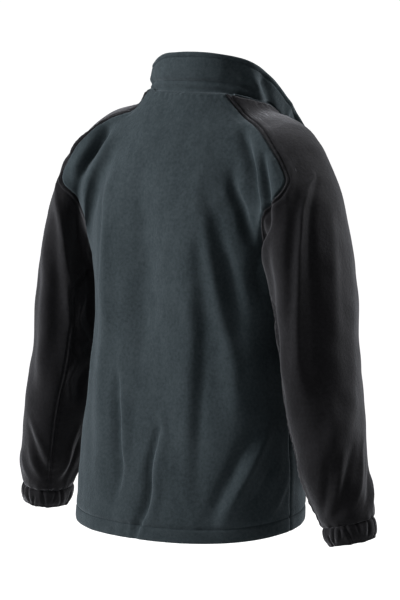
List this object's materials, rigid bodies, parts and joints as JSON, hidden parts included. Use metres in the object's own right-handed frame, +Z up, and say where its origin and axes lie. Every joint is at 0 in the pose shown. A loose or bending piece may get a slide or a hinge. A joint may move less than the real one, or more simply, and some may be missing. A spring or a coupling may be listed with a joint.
{
  "type": "fleece zip jacket",
  "caption": "Hollow worn-shape fleece jacket with raglan sleeves, stand collar, gathered cuffs, a front zip part open and a swinging pull.",
  "frame": {"origin": "middle of the neck opening, level with the back neck seam, where the shoulders carry the jacket", "axes": "+Z up, +X to the wearer's left, +Y to the wearer's back; the zip faces -Y"},
  "size_m": [0.6764, 0.3208, 0.7359],
  "materials": {
    "slate_fleece": "brushed nap, matt, slate grey",
    "black_fleece": "brushed nap, matt, black",
    "zip_tape": "woven tape, matt black",
    "zip_teeth": "moulded plastic, satin black",
    "black_metal": "enamelled zinc, satin black"
  },
  "bodies": {
    "jacket": {"back": "slate_fleece", "front_left": "slate_fleece", "front_right": "slate_fleece", "collar": "slate_fleece", "sleeve_left": "black_fleece", "sleeve_right": "black_fleece", "cuff_left": "black_fleece", "cuff_right": "black_fleece", "zip_tape_left": "zip_tape", "zip_tape_right": "zip_tape", "zip_teeth_left": "zip_teeth", "zip_teeth_right": "zip_teeth", "zip_slider": "black_metal"},
    "zip_pull": {"zip_pull": "black_metal"}
  },
  "joints": [
    {"name": "zip_pull_swing", "type": "hinge", "parent": "jacket", "child": "zip_pull", "pos_m": [0, -0.12156, -0.225], "axis": [-1, 0, 0], "range_deg": [0, 150]}
  ]
}
